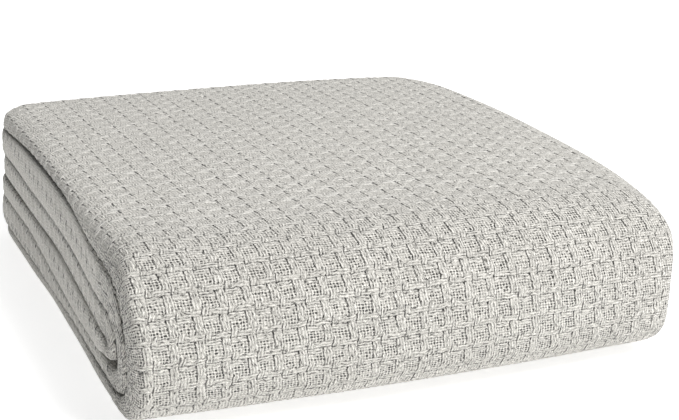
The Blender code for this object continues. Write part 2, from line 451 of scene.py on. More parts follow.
    def turn(
        self,
        panels: tuple[int, int],
        level: int,
        depth: float,
        reaches: tuple[float, float],
        below: tuple[float, float],
        above: float,
        turn: Array,
        first_is_inner: bool,
    ) -> Sections:
        """Lay the strip round a fold, from its lower panel to its upper one.

        Args:
            panels: The numbers of the two panels.
            level: The line between panels that the fold goes round.
            depth: The depth of the fold's centre.
            reaches: How far its inner and its outer face reach past the centre along the depth.
            below: Squareness of the inner and the outer face below the centre.
            above: Squareness of both above it.
            turn: The angle of each section, from straight down to straight up.
            first_is_inner: Whether the strip's face 0 is the inner one.

        Returns:
            Its sections.
        """
        at = np.array([depth])
        centre = float(self.crease_height(level, at)[0])
        low, high = ([float(face[0]) for face in self.panel_bounds(panel, at)] for panel in panels)
        faces = []
        for reach, drop, rise, squareness in (
            (reaches[0], centre - low[1], high[0] - centre, below[0]),
            (reaches[1], centre - low[0], high[1] - centre, below[1]),
        ):
            out, up = rounded(np.abs(turn), np.where(turn < 0, squareness, above))
            height = np.where(turn < 0, -drop * up, rise * up)
            faces.append(np.stack([depth + reach * out, centre + height], axis=1))
        share = smooth_step((turn / math.pi) + 0.5)[:, None]
        low_form = self.edge_form(panels[0], at, not first_is_inner)
        high_form = self.edge_form(panels[1], at, first_is_inner)
        inset = low_form[0] + (high_form[0] - low_form[0]) * share[:, 0]
        edge = low_form[1] + (high_form[1] - low_form[1]) * share
        first, last = faces if first_is_inner else faces[::-1]
        return Sections(first, last, inset, edge)

    def front_turn(self, ring: int, first_is_inner: bool) -> Sections:
        """Lay the strip round a front fold, from its lower panel to its upper one.

        Args:
            ring: The fold's number, 1 for the innermost.
            first_is_inner: Whether the strip's face 0 is the inner one.

        Returns:
            Its sections.
        """
        rings = self.panels // 2
        ring_width = (self.front_centre - self.hollow_reach) / rings
        inner_reach = self.hollow_reach + (ring - 1) * ring_width + (0.5 * self.gap if ring > 1 else 0.0)
        outer_reach = self.hollow_reach + ring * ring_width - (0.5 * self.gap if ring < rings else 0.0)
        outer_reach -= self.pocket_reach if ring == 1 else 0.0
        turn = np.linspace(-RIGHT_ANGLE, RIGHT_ANGLE, self.front_sections)
        sections = self.turn(
            (rings + 1 - ring, rings + ring),
            rings,
            self.front_centre,
            (-inner_reach, -outer_reach),
            self.lower_squareness[ring - 1 : ring + 1],
            self.upper_squareness,
            turn,
            first_is_inner,
        )
        if ring == rings:
            middle = smooth_step(self.wrap_edge_share * (1.0 - np.abs(2.0 * turn / math.pi)))[:, None]
            sections.edge = sections.edge + (np.asarray(self.wrap_edge) - sections.edge) * middle
        return sections

    def back_turn(self, level: int, first_is_inner: bool) -> Sections:
        """Lay the strip round a back fold, from its lower panel to its upper one.

        Args:
            level: The line between panels that it goes round.
            first_is_inner: Whether the strip's face 0 is the inner one.

        Returns:
            Its sections.
        """
        return self.turn(
            (level, level + 1),
            level,
            self.back_centre,
            (self.back_fold_reach, self.back_bulge),
            (self.back_squareness, self.back_squareness),
            self.back_squareness,
            np.linspace(-RIGHT_ANGLE, RIGHT_ANGLE, self.back_sections),
            first_is_inner,
        )

    def corner_inset(self, depth: Array, front: Corner, back: Corner) -> Array:
        """Inset of a side from the roundness of its front and back corners.

        Args:
            depth: Places along the depth.
            front: The side's front corner.
            back: The side's back corner.

        Returns:
            The inset at each place.
        """
        total = np.zeros_like(depth)
        for distance, corner in ((depth, front), (self.depth - depth, back)):
            share = np.clip(1.0 - distance / corner.along_depth, 0.0, 1.0)
            total += corner.inset * (1.0 - np.sqrt(1.0 - self.corner_share * share * share))
        return total

    def side_inset(self, height: Array, bottom: float, top: float) -> Array:
        """Inset of a side that is rounded towards the bottom and the top."""
        share = 2.0 * height / self.height - 1.0
        return np.where(share > 0, top, bottom) * np.minimum(np.abs(share), 1.0) ** self.side_squareness

    def crown(self, x: Array, depth: Array) -> Array:
        """Share of the height that is lost towards the edges of the stack.

        Args:
            x: Distances from the stack's left side.
            depth: Places along the depth.

        Returns:
            The share at each place.
        """
        lost = np.zeros_like(x)
        for edge, crown in (
            (x, self.left_crown),
            (self.width - x, self.right_crown),
            (self.depth - depth, self.back_crown),
        ):
            lost += crown.loss * np.maximum(0.0, 1.0 - edge / crown.width) ** crown.power
        return lost

    def place(self, sections: Sections, run: Array, reach: Array, height: Array) -> Array:
        """Put points of the strip's outline into the stack.

        Args:
            sections: The sections, one for each row of the other arrays.
            run: Share of the way between the strip's two edges.
            reach: Distance past that share along x.
            height: Distance from the strip's face 0.

        Returns:
            The points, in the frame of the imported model.
        """
        share = height / sections.thickness[:, None]
        first, last = sections.first[:, None, :], sections.last[:, None, :]
        depth, up = np.moveaxis(first + (last - first) * share[..., None], -1, 0)
        left_reach = sections.edge[:, :1]
        left = sections.inset[:, None] + self.corner_inset(depth, self.front_left, self.back_left)
        left = left + self.side_inset(up, self.left_bottom, self.left_top) + left_reach
        right = self.width - self.corner_inset(depth, self.front_right, self.back_right)
        right = right - self.side_inset(up, self.right_bottom, self.right_top) - self.right_edge_reach
        right = right - self.right_bow * (2.0 * depth / self.depth - 1.0) ** 2
        x = left + (right - left) * run + reach
        across = x - 0.5 * self.width
        fall = sum(trough.depth_at(across, depth) for trough in self.top_troughs)
        z = up * (1.0 - self.crown(x, depth)) - fall * (up / self.height) ** 2
        bow = self.front_bow * (1.0 - (2.0 * x / self.width - 1.0) ** 2)
        dent = sum(trough.depth_at(across, up) for trough in self.front_troughs)
        forward = smooth_step(1.0 - depth / self.front_bow_depth)
        y = depth - bow * forward + dent * smooth_step(1.0 - depth / self.front_dent_depth)
        return np.stack([across, y - 0.5 * self.depth, z], axis=-1)


@dataclass(frozen=True)
class Leg:
    """A layer's run between the strip's two edges. Layer 0 lies at the strip's face 0."""

    layer: int
    leftwards: bool


@dataclass(frozen=True)
class Bend:
    """A turn of the cloth from one layer into another at an edge of the strip."""

    start: int
    end: int
    at_left: bool
    steps: int


# The cloth's way through the strip: folded in thirds, and then in half
CHAIN: tuple[Leg | Bend, ...] = (
    Leg(0, True),
    Bend(0, 5, True, 8),
    Leg(5, False),
    Bend(5, 4, False, 4),
    Leg(4, True),
    Bend(4, 1, True, 4),
    Leg(1, False),
    Bend(1, 2, False, 4),
    Leg(2, True),
    Bend(2, 3, True, 4),
    Leg(3, False),
)


@dataclass(frozen=True)
class Weave:
    """The thermal weave: a square cell of yarns that float over one another round a window of plain weave.

    A chart has one letter for each crossing. W is a warp, which runs towards the front, on top, and F is a
    weft. Capitals are floats and small letters are the plain weave of the window.
    """

    across: float = 0.01494
    lengthwise: float = 0.01375
    depth: float = 0.0011
    origin: tuple[float, float] = (0.125, 0.0)
    chart: tuple[str, ...] = (
        "FFFFFWWW",
        "FFFFFWWW",
        "wfwfwWWW",
        "fwfwfWWW",
        "wfwfwWWW",
        "WWwfwWWW",
        "WWFFFFFF",
        "WWFFFFFF",
    )
    # Painted shade in gaps: | at a crossing's left side, - at its far side, o at both with a hole in the
    # corner between them, O where that hole is large, and ! at a left side that shows painted shade also
    # where the weave lies closed.
    # : is a gap at a left side that becomes a slot in the edges of the folds, as O does
    gaps: tuple[str, ...] = (
        "o----O..",
        ".....!..",
        ".....!..",
        ".....|..",
        ".....:..",
        "|....|..",
        "|.......",
        "|.......",
    )
    # Height of each crossing, from 0 at the bottom of the window to 9 on top of a float
    heights: tuple[str, ...] = (
        "68985777",
        "79985999",
        "54444999",
        "54444999",
        "54444999",
        "66444888",
        "99689986",
        "88689986",
    )

    @property
    def yarns(self) -> int:
        """Yarns across one cell, which are as many as along it."""
        return len(self.chart)

    @staticmethod
    def rows_where(chart: Sequence[str], letters: str) -> list[int]:
        """Each row of a chart as a number whose bits are the crossings that have one of these letters."""
        return [sum(1 << i for i, letter in enumerate(row) if letter in letters) for row in chart]

    def relief(self) -> list[float]:
        """How deep each crossing lies under the cloth's outer face, row by row."""
        return [-self.depth * (9 - int(mark)) / 9.0 for row in self.heights for mark in row]


@dataclass(frozen=True)
class Lay:
    """How a piece of the cloth is followed, and how its weave lies.

    steps holds the step between rows in each of its parts, in yarns. fine_run says whether its outer face
    shows over its whole width. shift is how far its weave lies along x, in yarns, closed how open it is where
    nothing pulls it, and slant how far it is pulled askew, in cells for each cell across.
    """

    steps: tuple[int, ...]
    fine_run: bool
    shift: int
    closed: float
    slant: float


@dataclass
class ClothPiece:
    """A length of the folded strip as one closed thin sheet, fine where its weave shows."""

    name: str
    lay: Lay
    stack: Stack
    weave: Weave
    sections: Sections
    lengths: Array
    rows: Array
    open_depth: tuple[float, float] = (0.030, 0.085)
    flat_height: float = 0.030
    left_edge: float = 0.004
    deep_inside: float = 0.012
    deep_end: float = 6.0
    far_crease: float = 8.0
    flat_relief: float = 0.45
    relief_share: float = 0.6
    edge_yarns: float = 0.9
    leg_steps: int = 2
    dense_steps: int = 48

    def leg(self, link: Leg, sheet: Array, pitch: Array, steps: int) -> Array:
        """Points of one layer between the strip's two edges.

        Args:
            link: The layer.
            sheet: Thickness of the cloth at each section.
            pitch: Distance between layers at each section.
            steps: Number of steps between the edges.

        Returns:
            An array of section, point and the five numbers that outline gives.
        """
        share = np.linspace(0.0, 1.0, steps + 1)[None, :]
        run = np.repeat(share[:, ::-1] if link.leftwards else share, len(sheet), axis=0)
        height = 0.5 * sheet + link.layer * pitch + 0.0 * run
        level, up = np.zeros_like(run), np.full_like(run, 1.0 if link.leftwards else -1.0)
        return np.stack([run, level, height, level, up], axis=-1)

    def bend(self, link: Bend, sections: Sections, sheet: Array, pitch: Array, steps: int) -> Array:
        """Points of one turn of the cloth at an edge of the strip.

        Args:
            link: The turn.
            sections: The sections to make it for.
            sheet: Thickness of the cloth at each section.
            pitch: Distance between layers at each section.
            steps: Number of steps round the turn.

        Returns:
            An array of section, point and the five numbers that outline gives.
        """
        stack, thickness = self.stack, sections.thickness[:, None]
        low, high = sorted((link.start, link.end))
        turn = np.linspace(-RIGHT_ANGLE, RIGHT_ANGLE, steps + 1)[None, 1:-1]
        turn = -turn if link.start == high else turn
        if link.at_left:
            start, side = 0.0, -1.0
            reach, below, above = (sections.edge[:, k : k + 1] for k in range(3))
            if high - low < stack.layers - 1:
                below = above = stack.inner_squareness
            squareness = np.where(turn > 0, above, below) + 0.0 * thickness
            stretch = reach / (0.5 * thickness)
        else:
            start, side = 1.0, 1.0
            squareness = np.full_like(thickness * turn, stack.right_squareness)
            stretch = stack.right_edge_reach / (0.5 * (pitch + sheet))
        out, rise = rounded(np.abs(turn), squareness)
        up = np.copysign(rise, turn)
        radius = 0.5 * (high - low) * pitch
        outward = -1.0 if (link.end > link.start) == link.at_left else 1.0
        height = 0.5 * sheet + 0.5 * (low + high) * pitch + radius * up
        run, reach = np.full_like(out, start), side * radius * out * stretch
        return np.stack([run, reach, height, outward * side * out * stretch, outward * up], axis=-1)

    def outline(self, sections: Sections, steps: dict[int, int], leg_steps: int) -> list[Array]:
        """Points of the middle of the cloth, with the way that its outer face looks.

        Args:
            sections: The sections to make it for.
            steps: Steps of a bend, by its place in the chain, where they aren't its own.
            leg_steps: Steps of each leg.

        Returns:
            For each link of the chain an array of section, point and run, reach, height, and the two parts
            of the way that the face looks.
        """
        stack, thickness = self.stack, sections.thickness[:, None]
        sheet = stack.sheet_at(thickness)
        pitch = (thickness - sheet) / (stack.layers - 1)
        return [
            self.leg(link, sheet, pitch, leg_steps)
            if isinstance(link, Leg)
            else self.bend(link, sections, sheet, pitch, steps.get(place, link.steps))
            for place, link in enumerate(CHAIN)
        ]

    def face(self, sections: Sections, links: Sequence[Array], side: float) -> Array:
        """Points of one face of the cloth in the stack.

        Args:
            sections: The sections that the links were made for.
            links: Links of the outline.
            side: -1 for the outer face of the strip's last layer, and 1 for the other face.

        Returns:
            The points, with their height from the strip's face 0, as a share of its thickness, as the fourth
            number.
        """
        points = np.concatenate(links, axis=1)
        thickness = sections.thickness[:, None]
        half = side * 0.5 * self.stack.sheet_at(thickness)
        reach = points[..., 1] + half * points[..., 3]
        height = points[..., 2] + half * points[..., 4]
        placed = self.stack.place(sections, points[..., 0], reach, height)
        return np.concatenate([placed, (height / thickness)[..., None]], axis=-1)

    @staticmethod
    def distances(points: Array, start: int) -> Array:
        """Distances along rows of points.

        Args:
            points: The points, by row and by place in it.
            start: The place that they are measured from.

        Returns:
            The distance of each point.
        """
        steps = np.linalg.norm(np.diff(points[..., :3], axis=1), axis=2)
        distance = np.concatenate([np.zeros((len(points), 1)), np.cumsum(steps, axis=1)], axis=1)
        return distance - distance[:, start : start + 1]

    def fine_curve(self, sections: Sections) -> tuple[Array, Array]:
        """The outer face round the left edge, and over the top layer where that shows, one point a yarn.

        Args:
            sections: The sections to make it for.

        Returns:
            The points, and their places across the weave in cells.
        """
        links = self.outline(sections, {1: self.dense_steps}, 4 * self.dense_steps)
        bend, leg = links[1], links[2]
        dense = self.face(sections, [links[0][:, -1:], bend, leg if self.lay.fine_run else leg[:, :1]], -1.0)
        start = 1 + bend.shape[1]
        distance = self.distances(dense, start)
        yarn = self.weave.across / self.weave.yarns
        offset = dense[:, start, 0] + 0.5 * self.stack.width
        first = math.floor(float((distance[:, 0] + offset).min()) / yarn)
        last = math.ceil(float((distance[:, -1] + offset).max()) / yarn)
        wanted = (np.arange(first, last) + 0.5) * yarn
        points = np.empty((len(dense), len(wanted), 4))
        places = np.empty((len(dense), len(wanted)))
        margin = self.edge_yarns * yarn
        for row in range(len(dense)):
            low, high = distance[row, 0] + offset[row], distance[row, -1] + offset[row]
            spots = wanted.copy()
            under, over = spots < low + margin, spots > high - margin
            spots[under] = np.linspace(low, low + margin, int(under.sum()), endpoint=False)
            spots[over] = np.linspace(high - margin, high, int(over.sum()) + 1)[1:]
            for axis in range(4):
                points[row, :, axis] = np.interp(spots - offset[row], distance[row], dense[row, :, axis])
            places[row] = spots / self.weave.across
        return points, places

    def build(self) -> bpy.types.Object:
        """Make the piece's mesh, with its weave coordinates and its marks.

        Returns:
            The piece, before its relief is pressed.
        """
        picked = self.sections.picked(self.rows, self.lengths)
        links = self.outline(picked, {}, self.leg_steps)
        inner, outer = (self.face(picked, links, side) for side in (1.0, -1.0))
        ends = np.cumsum([link.shape[1] for link in links])
        corner = outer[:, ends[1] : ends[1] + 1, 0] + 0.5 * self.stack.width
        across = self.distances(outer, ends[1]) / self.weave.across + corner / self.weave.across
        fine, places = self.fine_curve(picked)
        before, after = ends[0] - 1, ends[2] if self.lay.fine_run else ends[1] + 1
        ring = np.concatenate([outer[:, :before], fine, outer[:, after:], inner[:, ::-1]], axis=1)
        u = np.concatenate([across[:, :before], places, across[:, after:], across[:, ::-1]], axis=1)
        shown = np.zeros(u.shape)
        shown[:, before : before + fine.shape[1]] = 1.0
        v = np.repeat(-self.rows[:, None] / self.weave.lengthwise, ring.shape[1], axis=1)
        v = v + self.weave.origin[1] - self.lay.slant * u
        u = u + self.weave.origin[0] + self.lay.shift / self.weave.yarns
        marks = {
            RELIEF_NAME: shown * self.relief_share_at(picked)[:, None],
            OPEN_NAME: np.repeat(self.openness(picked)[:, None], ring.shape[1], axis=1),
            # The crease marks place the painted shade at the creases and in the hollow of the innermost fold
            CREASE_NAME: self.crease_distance(picked, ring),
            CREASE_SHADE_NAME: self.crease_shade(picked, ring),
        }
        return self.mesh(ring[..., :3], np.stack([u, v], axis=-1), marks)

    def relief_share_at(self, sections: Sections) -> Array:
        """Share of the weave's relief at each section, less on the underside and in thin cloth.

        Args:
            sections: The sections.

        Returns:
            The share at each of them.
        """
        height = sections.middle[:, 1]
        calm = self.flat_relief + (1.0 - self.flat_relief) * smooth_step(height / self.flat_height)
        most = self.relief_share * self.stack.sheet_at(sections.thickness) / self.weave.depth
        return np.minimum(calm, most)

    def openness(self, sections: Sections) -> Array:
        """How far the weave is pulled open.

        Args:
            sections: The sections.

        Returns:
            The openness at each of them, from 0 to 1.
        """
        near, far = self.open_depth
        pulled = smooth_step((far - sections.middle[:, 0]) / (far - near))
        return self.lay.closed + (1.0 - self.lay.closed) * pulled

    def inside(self, ring: Array) -> Array:
        """Distance of points from the folded edges at the left."""
        return ring[..., 0] + 0.5 * self.stack.width - self.left_edge

    def deep(self, sections: Sections, ring: Array) -> Array:
        """Which points lie deep in the hollow of the innermost fold, where the painted shade is full.

        Args:
            sections: The sections, one for each row of points.
            ring: The points.

        Returns:
            True or false for each point.
        """
        inside, near_front = self.inside(ring), sections.middle[:, :1] < self.open_depth[1]
        deep = (inside > self.deep_inside) & (inside < self.deep_end * self.deep_inside) & near_front
        return deep & (not self.lay.fine_run)

    def crease_distance(self, sections: Sections, ring: Array) -> Array:
        """How far each point of a left edge lies from the crease beside it.

        Args:
            sections: The sections, one for each row of points.
            ring: The points, with their share of the thickness as the fourth number.

        Returns:
            The distance of each point in millimetres, up to a limit.
        """
        share = ring[..., 3]
        side = share if self.lay.fine_run else np.minimum(share, 1.0 - share)
        distance = MILLIMETRES * side * sections.thickness[:, None]
        distance = np.where(self.inside(ring) > self.deep_inside, self.far_crease, distance)
        distance = np.where(self.deep(sections, ring), 0.0, distance)
        return np.clip(distance, 0.0, self.far_crease)

    def crease_shade(self, sections: Sections, ring: Array) -> Array:
        """How dark the painted shade is at the line between panels that lies nearest to each point.

        Args:
            sections: The sections, one for each row of points.
            ring: The points.

        Returns:
            The darkness for each point, from 0 to 1.
        """
        depth, stack = sections.middle[:, 0], self.stack
        heights = np.stack([stack.crease_height(level, depth) for level in range(1, stack.panels)], axis=1)
        nearest = np.argmin(np.abs(ring[..., 2][..., None] - heights[:, None, :]), axis=2)
        share = stack.towards_front(depth)
        shades = np.stack([along(row, share) for row in stack.crease_shade], axis=1)
        return np.where(self.deep(sections, ring), 1.0, np.take_along_axis(shades, nearest, axis=1))

    def mesh(self, ring: Array, places: Array, marks: dict[str, Array]) -> bpy.types.Object:
        """Turn rings of points into a closed mesh object.

        Args:
            ring: The points, by row and by place round the outline.
            places: Their places on the weave.
            marks: Named numbers for the points.

        Returns:
            The new object, linked to the scene.
        """
        rows, count = ring.shape[:2]
        index = np.arange(rows * count).reshape(rows, count)
        after = np.roll(index, -1, axis=1)
        quads = np.stack([index[:-1], after[:-1], after[1:], index[1:]], axis=-1).reshape(-1, 4)
        faces = quads.tolist() + [index[0, ::-1].tolist(), index[-1].tolist()]
        data = bpy.data.meshes.new(self.name)
        data.from_pydata(ring.reshape(-1, 3).tolist(), [], faces)
        mesh = bmesh.new()
        mesh.from_mesh(data)
        bmesh.ops.recalc_face_normals(mesh, faces=mesh.faces)
        mesh.to_mesh(data)
        mesh.free()
        flat = places.reshape(-1, 2)
        corners = np.empty(len(data.loops), np.int32)
        data.loops.foreach_get("vertex_index", corners)
        layer = data.uv_layers.new(name=UV_NAME)
        layer.uv.foreach_set("vector", flat[corners].astype(np.float32).ravel())
        for name, values in marks.items():
            layer = data.attributes.new(name, "FLOAT", "POINT")
            layer.data.foreach_set("value", values.reshape(-1).astype(np.float32))
        data.shade_smooth()
        piece = bpy.data.objects.new(self.name, data)
        bpy.context.scene.collection.objects.link(piece)
        return piece


class Nodes:
    """A tree of nodes that are added one at a time."""

    tree: bpy.types.NodeTree

    def node(self, kind: str, settings: dict[str, Any], inputs: dict[int | str, Any]) -> bpy.types.Node:
        """Add a node.

        Args:
            kind: The node's type.
            settings: Its properties, and ramp stops as pairs of place and value under "stops".
            inputs: Values or links of its sockets.

        Returns:
            The node.
        """
        node = self.tree.nodes.new(kind)
        for name, value in settings.items():
            if name == "stops":
                self.set_stops(node, value)
            else:
                setattr(node, name, value)
        for name, value in inputs.items():
            value = value.socket if isinstance(value, Value) else value
            if isinstance(value, bpy.types.NodeSocket):
                self.tree.links.new(value, node.inputs[name])
            else:
                node.inputs[name].default_value = value
        return node

    @staticmethod
    def set_stops(node: bpy.types.Node, stops: Sequence[tuple[float, float]]) -> None:
        """Give a ramp constant stops of grey.

        Args:
            node: The ramp.
            stops: Pairs of place and value.
        """
        ramp = node.color_ramp
        ramp.interpolation = "CONSTANT"
        while len(ramp.elements) < len(stops):
            ramp.elements.new(1.0)
        for element, (place, value) in zip(ramp.elements, stops):
            element.position = place
            element.color = (value, value, value, 1.0)


@dataclass
class ReliefTree(Nodes):
    """Geometry nodes that press the weave's relief into a cloth piece, one depth for each crossing."""

    weave: Weave
    material: bpy.types.Material
    tree: bpy.types.GeometryNodeTree = field(init=False)

    def __post_init__(self) -> None:
        """Build the tree once, for every piece."""
        self.tree = bpy.data.node_groups.new("weave_relief", "GeometryNodeTree")
        face = self.tree.interface
        face.new_socket("Geometry", in_out="INPUT", socket_type="NodeSocketGeometry")
        for name, kind in (("Yarns", "Int"), ("Depth", "Float"), ("Cloth", "Material")):
            face.new_socket(name, in_out="INPUT", socket_type=f"NodeSocket{kind}")
        face.new_socket("Geometry", in_out="OUTPUT", socket_type="NodeSocketGeometry")
        self.fill()

    def number(self, operation: str, *values: Any) -> bpy.types.NodeSocket:
        """Add a Math node and give its result."""
        return self.node("ShaderNodeMath", {"operation": operation}, dict(enumerate(values))).outputs[0]

    def attribute(self, name: str, kind: str) -> bpy.types.NodeSocket:
        """Read one of the piece's own marks."""
        node = self.node("GeometryNodeInputNamedAttribute", {"data_type": kind}, {"Name": name})
        return node.outputs["Attribute"]

    def fill(self) -> None:
        """Read each point's crossing, find its depth in the chart and move the point."""
        entry = self.tree.nodes.new("NodeGroupInput").outputs
        place = self.attribute(UV_NAME, "FLOAT_VECTOR")
        shown = self.attribute(RELIEF_NAME, "FLOAT")
        split = self.node("ShaderNodeSeparateXYZ", {}, {0: place}).outputs
        column, row = (
            self.number("FLOOR", self.number("MULTIPLY", self.number("FRACT", split[axis]), entry["Yarns"]))
            for axis in (0, 1)
        )
        index = self.number("MULTIPLY_ADD", row, entry["Yarns"], column)
        chart = self.node("GeometryNodeIndexSwitch", {"data_type": "FLOAT"}, {})
        depths = self.weave.relief()
        while len(chart.index_switch_items) < len(depths):
            chart.index_switch_items.new()
        self.tree.links.new(index, chart.inputs["Index"])
        for number, depth in enumerate(depths):
            chart.inputs[number + 1].default_value = depth / self.weave.depth
        amount = self.number("MULTIPLY", chart.outputs[0], entry["Depth"])
        amount = self.number("MULTIPLY", amount, shown)
        normal = self.node("GeometryNodeInputNormal", {}, {}).outputs["Normal"]
        move = self.node("ShaderNodeVectorMath", {"operation": "SCALE"}, {0: normal, "Scale": amount})
        moved = self.node(
            "GeometryNodeSetPosition", {}, {"Geometry": entry["Geometry"], "Offset": move.outputs[0]}
        )
        real = self.node("GeometryNodeRealizeInstances", {}, {"Geometry": moved.outputs[0]})
        dressed = self.node(
            "GeometryNodeSetMaterial", {}, {"Geometry": real.outputs[0], "Material": entry["Cloth"]}
        )
        self.node("NodeGroupOutput", {}, {0: dressed.outputs[0]})

    def press(self, piece: bpy.types.Object) -> bpy.types.Object:
        """Press the relief into a piece and leave it as a plain mesh.

        Args:
            piece: The piece.

        Returns:
            The same piece, with its new mesh.
        """
        modifier = piece.modifiers.new("weave_relief", "NODES")
        modifier.node_group = self.tree
        sizes = {"Yarns": self.weave.yarns, "Depth": self.weave.depth, "Cloth": self.material}
        for item in self.tree.interface.items_tree:
            if item.in_out == "INPUT" and item.name in sizes:
                modifier[item.identifier] = sizes[item.name]
        graph = bpy.context.evaluated_depsgraph_get()
        plain = bpy.data.meshes.new_from_object(piece.evaluated_get(graph), depsgraph=graph)
        piece.modifiers.clear()
        old, piece.data = piece.data, plain
        bpy.data.meshes.remove(old)
        plain.name = piece.name
        return piece


class Value:
    """A shader socket that does maths as a Python expression."""

    def __init__(self, shader: Shader, socket: bpy.types.NodeSocket) -> None:
        """Keep the socket and the shader that it belongs to."""
        self.shader = shader
        self.socket = socket

    def do(self, operation: str, *others: Value | float) -> Value:
        """Apply a Math node with this value first."""
        return self.shader.number(operation, self, *others)

    def __add__(self, other: Value | float) -> Value:
        """Sum."""
        return self.do("ADD", other)

    __radd__ = __add__

    def __sub__(self, other: Value | float) -> Value:
        """Difference."""
        return self.do("SUBTRACT", other)

    def __rsub__(self, other: Value | float) -> Value:
        """Difference from a number."""
        return self.shader.number("SUBTRACT", other, self)

    def __mul__(self, other: Value | float) -> Value:
        """Product."""
        return self.do("MULTIPLY", other)

    __rmul__ = __mul__

    def __truediv__(self, other: Value | float) -> Value:
        """Quotient."""
        return self.do("DIVIDE", other)

    def __rtruediv__(self, other: Value | float) -> Value:
        """Quotient of a number."""
        return self.shader.number("DIVIDE", other, self)

    def __mod__(self, other: Value | float) -> Value:
        """Remainder that is never negative."""
        return self.do("FLOORED_MODULO", other)

    def __pow__(self, other: Value | float) -> Value:
        """Power."""
        return self.do("POWER", other)

    def __rpow__(self, other: float) -> Value:
        """Power of a number."""
        return self.shader.number("POWER", other, self)

    def floor(self) -> Value:
        """Whole number below."""
        return self.do("FLOOR")

    def size(self) -> Value:
        """Value without its sign."""
        return self.do("ABSOLUTE")

    def root(self) -> Value:
        """Square root."""
        return self.do("SQRT")

    def held(self) -> Value:
        """Value held between 0 and 1."""
        return self.do("MAXIMUM", 0.0).do("MINIMUM", 1.0)

    def ramp(self, start: float, end: float) -> Value:
        """Smooth step from 0 at start to 1 at end."""
        share = ((self - start) / (end - start)).held()
        return share * share * (3.0 - 2.0 * share)


@dataclass(frozen=True)
class Noise:
    """Grain of a noise, and how far it moves the yarns where it does, in cells."""

    scale: float
    detail: float
    roughness: float = 0.5
    shift: float = 0.0


@dataclass
class Shader(Nodes):
    """The nodes of one material."""

    tree: bpy.types.NodeTree

    def number(self, operation: str, *values: Value | float) -> Value:
        """Add a Math node."""
        node = self.node("ShaderNodeMath", {"operation": operation}, dict(enumerate(values)))
        return Value(self, node.outputs[0])

    def vector(self, operation: str, inputs: dict[int | str, Any]) -> bpy.types.NodeSocket:
        """Add a Vector Math node."""
        return self.node("ShaderNodeVectorMath", {"operation": operation}, inputs).outputs[0]

    def point(self, x: Value, y: Value) -> bpy.types.NodeSocket:
        """Put two numbers together as a place."""
        return self.node("ShaderNodeCombineXYZ", {}, {0: x, 1: y}).outputs[0]

    def mark(self, name: str) -> Value:
        """Read one of the piece's own marks."""
        return Value(self, self.node("ShaderNodeAttribute", {"attribute_name": name}, {}).outputs["Fac"])

    def between(self, share: Value, low: Value, high: Value) -> Value:
        """Mix two numbers."""
        return low + (high - low) * share

    def tint(self, share: Value, low: Any, high: Any) -> bpy.types.NodeSocket:
        """Mix two colours."""
        return self.node("ShaderNodeMix", {"data_type": "RGBA"}, {0: share, 6: low, 7: high}).outputs[2]

    def noise(self, place: bpy.types.NodeSocket, noise: Noise) -> bpy.types.bpy_prop_collection:
        """Add flat noise at a place.

        Args:
            place: The place.
            noise: Its scale, detail and roughness.

        Returns:
            The outputs, a number and a colour.
        """
        inputs = {"Vector": place, "Scale": noise.scale, "Detail": noise.detail, "Roughness": noise.roughness}
        return self.node("ShaderNodeTexNoise", {"noise_dimensions": "2D"}, inputs).outputs

    def cloud(self, place: bpy.types.NodeSocket, scale: float, detail: float) -> Value:
        """Soft noise about 0.5 at a place."""
        return Value(self, self.noise(place, Noise(scale, detail))[0])


@dataclass
class ChartReader:
    """Reads the weave's charts for the crossing at a shaded place and for those beside it."""

    shader: Shader
    weave: Weave
    column: Value
    row: Value
    known: dict[Any, Value] = field(default_factory=dict)

    def bit(self, aside: int) -> Value:
        """Number whose only bit is that of a crossing.

        Args:
            aside: How many crossings to the right of this one it lies.

        Returns:
            The number.
        """
        if aside not in self.known:
            self.known[aside] = 2.0 ** ((self.column + float(aside)) % self.weave.yarns)
        return self.known[aside]

    def bits(self, chart: tuple[str, ...], letters: str, ahead: int) -> Value:
        """Row of a chart as a number with one bit for each crossing.

        Args:
            chart: The chart.
            letters: The letters that count.
            ahead: How many rows past this crossing's own.

        Returns:
            The number, a little above a whole one.
        """
        key = (chart, letters, ahead)
        if key not in self.known:
            count, rows = self.weave.yarns, self.weave.rows_where(chart, letters)
            stops = [(index / count, number / 2.0**count) for index, number in enumerate(rows)]
            place = ((self.row + float(ahead)) % count + 0.5) / count
            ramp = self.shader.node("ShaderNodeValToRGB", {"stops": stops}, {0: place})
            self.known[key] = Value(self.shader, ramp.outputs[0]) * 2.0**count + 0.25
        return self.known[key]

    def find(self, chart: tuple[str, ...], letters: str, aside: int = 0, ahead: int = 0) -> Value:
        """Tell whether a crossing has one of some letters.

        Args:
            chart: The chart.
            letters: The letters.
            aside: How many crossings to the right of this one it lies.
            ahead: How many rows past this one's it lies.

        Returns:
            1 where it has, and 0 elsewhere.
        """
        return (self.bits(chart, letters, ahead) / self.bit(aside)).floor() % 2.0


@dataclass(frozen=True)
class Spot:
    """What the material knows of a place: its crossing, its place in it, and how the weave lies there.

    edge is how far it lies from the left edge in cells, across and lengthwise are its place in yarns, and x
    and y its place in the crossing from -0.5 to 0.5. opened is how far the weave is pulled open, tucked is 1
    in the folded edges, on_top is 1 on a warp and 0 on a weft, and window is 1 in the plain weave.
    """

    chart: ChartReader
    uv: bpy.types.NodeSocket
    edge: Value
    across: Value
    lengthwise: Value
    x: Value
    y: Value
    opened: Value
    tucked: Value
    on_top: Value
    window: Value


@dataclass(frozen=True)
class Yarn:
    """Form of one yarn at a place, each from 0 to 1.

    side is how far the place lies from the yarn's middle, dive how far the yarn has gone under the next one,
    and strand the form of its twisted strands.
    """

    side: Value
    rounding: Value
    dive: Value
    height: Value
    strand: Value


